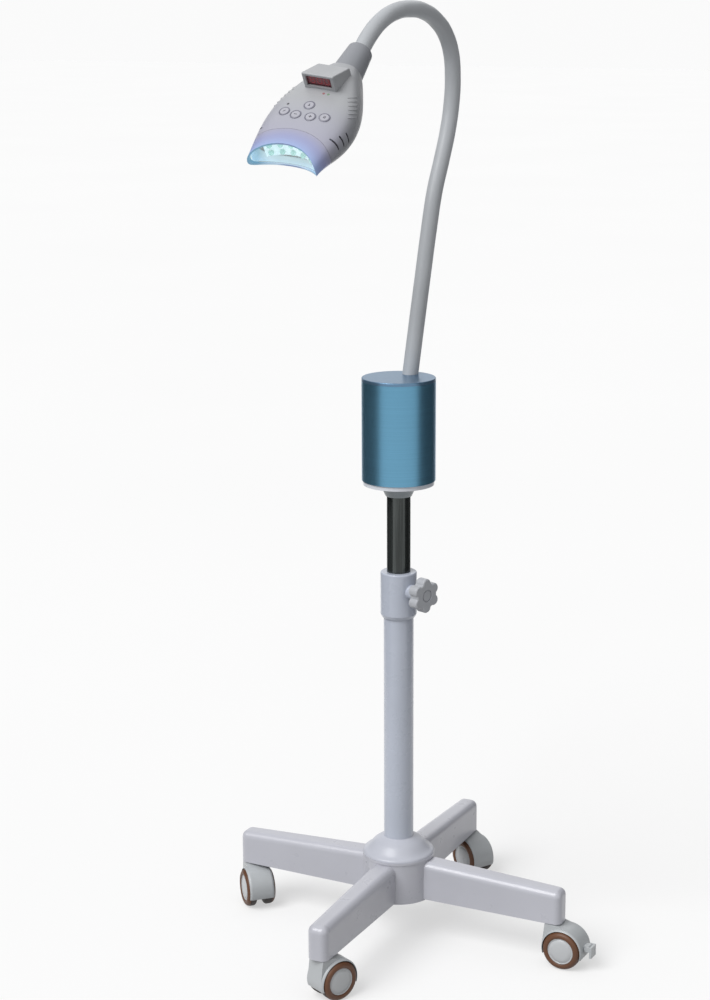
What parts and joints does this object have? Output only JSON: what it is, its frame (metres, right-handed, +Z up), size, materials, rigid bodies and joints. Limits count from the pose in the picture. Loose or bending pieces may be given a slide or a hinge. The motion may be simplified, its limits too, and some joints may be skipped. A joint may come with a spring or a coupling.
{
  "type": "teeth whitening lamp",
  "caption": "Floor-standing teeth whitening lamp: arched light head with keypad and display on a gooseneck, power housing, height-adjusting mast and a castered leg base.",
  "frame": {"origin": "on the column axis at floor level", "axes": "+Z up; the light head looks towards -Y; +X is to the right of somebody who stands behind the lamp and looks along +Y"},
  "size_m": [0.5073, 0.5017, 1.1879],
  "materials": {
    "grey_metal": "satin",
    "grey_plastic": "satin",
    "steel": "satin",
    "black_nylon": "matte",
    "knob_plastic": "satin",
    "mast_chrome": "polished",
    "pale_plastic": "satin",
    "blue_anodised": "satin",
    "lid_metal": "satin",
    "supply_case": "satin",
    "black_plastic": "satin",
    "rocker_plastic": "gloss",
    "neck_grey": "satin",
    "head_plastic": "satin",
    "bezel_lilac": "gloss",
    "light_glass": "gloss",
    "board_white": "matte",
    "led_lens": "gloss",
    "sink_aluminium": "satin",
    "board_green": "satin",
    "display_glass": "gloss",
    "lamp_red": "gloss",
    "caster_grey": "satin",
    "tyre_brown": "satin",
    "button_grey": "satin"
  },
  "bodies": {
    "base": {"hub": "grey_metal", "hub_cover": "grey_plastic", "leg_bolts": "steel", "caster_stems": "steel", "column_tube": "grey_metal", "clamp_collar": "grey_metal", "leg_right": "grey_metal", "leg_back": "grey_metal", "leg_left": "grey_metal", "leg_front": "grey_metal"},
    "clamp_pad": {"clamp_pad": "black_nylon"},
    "clamp_knob": {"clamp_knob": "knob_plastic"},
    "mast_guide": {"guide_plug": "black_nylon"},
    "mast": {"mast_tube": "mast_chrome", "housing_flange": "grey_metal", "base_ring": "pale_plastic", "housing_shell": "blue_anodised", "housing_lid": "lid_metal", "power_supply": "supply_case", "mains_inlet": "black_plastic", "neck_root": "neck_grey"},
    "power_rocker": {"power_rocker": "rocker_plastic"},
    "neck_1": {"neck_link_1": "neck_grey"},
    "neck_2": {"neck_link_2": "neck_grey"},
    "neck_3": {"neck_link_3": "neck_grey"},
    "neck_4": {"neck_link_4": "neck_grey"},
    "neck_5": {"neck_link_5": "neck_grey"},
    "neck_6": {"neck_link_6": "neck_grey"},
    "head": {"head_cuff": "head_plastic", "top_shell": "head_plastic", "bottom_shell": "head_plastic", "front_bezel": "bezel_lilac", "light_window": "light_glass", "led_board": "board_white", "led_emitters": "led_lens", "heat_sink": "sink_aluminium", "control_board": "board_green", "display_hood": "head_plastic", "display_window": "display_glass", "indicator_lamps": "lamp_red", "fan_frame": "black_plastic"},
    "fan": {"fan_rotor": "black_plastic"},
    "button_1": {"button_1": "button_grey"},
    "button_2": {"button_2": "button_grey"},
    "button_3": {"button_3": "button_grey"},
    "button_4": {"button_4": "button_grey"},
    "button_5": {"button_5": "button_grey"},
    "caster_right": {"caster_fork_right": "caster_grey"},
    "wheel_right_a": {"wheel_right_a": "tyre_brown"},
    "wheel_right_b": {"wheel_right_b": "tyre_brown"},
    "caster_back": {"caster_fork_back": "caster_grey"},
    "wheel_back_a": {"wheel_back_a": "tyre_brown"},
    "wheel_back_b": {"wheel_back_b": "tyre_brown"},
    "caster_left": {"caster_fork_left": "caster_grey"},
    "wheel_left_a": {"wheel_left_a": "tyre_brown"},
    "wheel_left_b": {"wheel_left_b": "tyre_brown"},
    "caster_front": {"caster_fork_front": "caster_grey"},
    "wheel_front_a": {"wheel_front_a": "tyre_brown"},
    "wheel_front_b": {"wheel_front_b": "tyre_brown"},
    "brake_lever": {"brake_lever": "caster_grey"}
  },
  "joints": [
    {"name": "mast_lift", "type": "slide", "parent": "base", "child": "mast_guide", "axis": [0, 0, 1], "range_m": [-0.08, 0.2]},
    {"name": "mast_swivel", "type": "hinge", "parent": "mast_guide", "child": "mast", "pos_m": [0, 0, 0.212], "axis": [0, 0, 1], "continuous": true},
    {"name": "clamp_travel", "type": "slide", "parent": "base", "child": "clamp_pad", "axis": [0.9703, -0.2419, 0], "range_m": [0, 0.00125]},
    {"name": "knob_turn", "type": "hinge", "parent": "clamp_pad", "child": "clamp_knob", "pos_m": [0.03008, -0.0075, 0.466], "axis": [0.9703, -0.2419, 0], "range_deg": [0, 360]},
    {"name": "rocker_tip", "type": "hinge", "parent": "mast", "child": "power_rocker", "pos_m": [0.0105, 0.032, 0.6045], "axis": [0, 1, 0], "range_deg": [-16, 0]},
    {"name": "neck_bend_1", "type": "hinge", "parent": "mast", "child": "neck_1", "pos_m": [0, 0.03759, 0.77365], "axis": [1, 0, 0], "range_deg": [-25, 25]},
    {"name": "neck_bend_2", "type": "hinge", "parent": "neck_1", "child": "neck_2", "pos_m": [0, 0.06562, 0.88208], "axis": [0, 0.9804, -0.1972], "range_deg": [-20, 20]},
    {"name": "neck_bend_3", "type": "hinge", "parent": "neck_2", "child": "neck_3", "pos_m": [0, 0.10244, 0.99069], "axis": [1, 0, 0], "range_deg": [-25, 15]},
    {"name": "neck_bend_4", "type": "hinge", "parent": "neck_3", "child": "neck_4", "pos_m": [0, 0.13181, 1.09556], "axis": [1, 0, 0], "range_deg": [-25, 15]},
    {"name": "neck_bend_5", "type": "hinge", "parent": "neck_4", "child": "neck_5", "pos_m": [0, 0.08109, 1.16818], "axis": [0, 0.3389, 0.9408], "range_deg": [-20, 20]},
    {"name": "neck_bend_6", "type": "hinge", "parent": "neck_5", "child": "neck_6", "pos_m": [0, -0.01719, 1.17232], "axis": [1, 0, 0], "range_deg": [-25, 15]},
    {"name": "head_roll", "type": "hinge", "parent": "neck_6", "child": "head", "pos_m": [0, -0.086, 1.13], "axis": [0, -0.7547, -0.6561], "range_deg": [-80, 80]},
    {"name": "fan_spin", "type": "hinge", "parent": "head", "child": "fan", "pos_m": [-0.00314, -0.13559, 1.06206], "axis": [0.165, -0.6471, 0.7444], "continuous": true},
    {"name": "press_1", "type": "slide", "parent": "head", "child": "button_1", "axis": [-0.165, 0.6471, -0.7444], "range_m": [0, 0.0006], "stiffness_N_per_m": 800},
    {"name": "press_2", "type": "slide", "parent": "head", "child": "button_2", "axis": [-0.165, 0.6471, -0.7444], "range_m": [0, 0.0006], "stiffness_N_per_m": 800},
    {"name": "press_3", "type": "slide", "parent": "head", "child": "button_3", "axis": [-0.165, 0.6471, -0.7444], "range_m": [0, 0.0006], "stiffness_N_per_m": 800},
    {"name": "press_4", "type": "slide", "parent": "head", "child": "button_4", "axis": [-0.165, 0.6471, -0.7444], "range_m": [0, 0.0006], "stiffness_N_per_m": 800},
    {"name": "press_5", "type": "slide", "parent": "head", "child": "button_5", "axis": [-0.165, 0.6471, -0.7444], "range_m": [0, 0.0006], "stiffness_N_per_m": 800},
    {"name": "swivel_right", "type": "hinge", "parent": "base", "child": "caster_right", "pos_m": [0.21717, 0.019, 0.057], "axis": [0, 0, 1], "continuous": true},
    {"name": "roll_right_a", "type": "hinge", "parent": "caster_right", "child": "wheel_right_a", "pos_m": [0.23415, 0.01989, 0.025], "axis": [-0.0523, 0.9986, 0], "continuous": true},
    {"name": "roll_right_b", "type": "hinge", "parent": "caster_right", "child": "wheel_right_b", "pos_m": [0.23415, 0.01989, 0.025], "axis": [-0.0523, 0.9986, 0], "continuous": true},
    {"name": "swivel_back", "type": "hinge", "parent": "base", "child": "caster_back", "pos_m": [-0.019, 0.21717, 0.057], "axis": [0, 0, 1], "continuous": true},
    {"name": "roll_back_a", "type": "hinge", "parent": "caster_back", "child": "wheel_back_a", "pos_m": [-0.00359, 0.20999, 0.025], "axis": [0.4226, 0.9063, 0], "continuous": true},
    {"name": "roll_back_b", "type": "hinge", "parent": "caster_back", "child": "wheel_back_b", "pos_m": [-0.00359, 0.20999, 0.025], "axis": [0.4226, 0.9063, 0], "continuous": true},
    {"name": "swivel_left", "type": "hinge", "parent": "base", "child": "caster_left", "pos_m": [-0.21717, -0.019, 0.057], "axis": [0, 0, 1], "continuous": true},
    {"name": "roll_left_a", "type": "hinge", "parent": "caster_left", "child": "wheel_left_a", "pos_m": [-0.20424, -0.03004, 0.025], "axis": [0.6494, 0.7604, 0], "continuous": true},
    {"name": "roll_left_b", "type": "hinge", "parent": "caster_left", "child": "wheel_left_b", "pos_m": [-0.20424, -0.03004, 0.025], "axis": [0.6494, 0.7604, 0], "continuous": true},
    {"name": "swivel_front", "type": "hinge", "parent": "base", "child": "caster_front", "pos_m": [0.019, -0.21717, 0.057], "axis": [0, 0, 1], "continuous": true},
    {"name": "roll_front_a", "type": "hinge", "parent": "caster_front", "child": "wheel_front_a", "pos_m": [0.02481, -0.2012, 0.025], "axis": [-0.9397, 0.342, 0], "continuous": true},
    {"name": "roll_front_b", "type": "hinge", "parent": "caster_front", "child": "wheel_front_b", "pos_m": [0.02481, -0.2012, 0.025], "axis": [-0.9397, 0.342, 0], "continuous": true},
    {"name": "brake_press", "type": "hinge", "parent": "caster_right", "child": "brake_lever", "pos_m": [0.2655, 0.02153, 0.03], "axis": [-0.0523, 0.9986, 0], "range_deg": [0, 18]}
  ],
  "couplings": [
    {"joint": "clamp_travel", "follows": "knob_turn", "m_per_rad": 0.00019894}
  ]
}
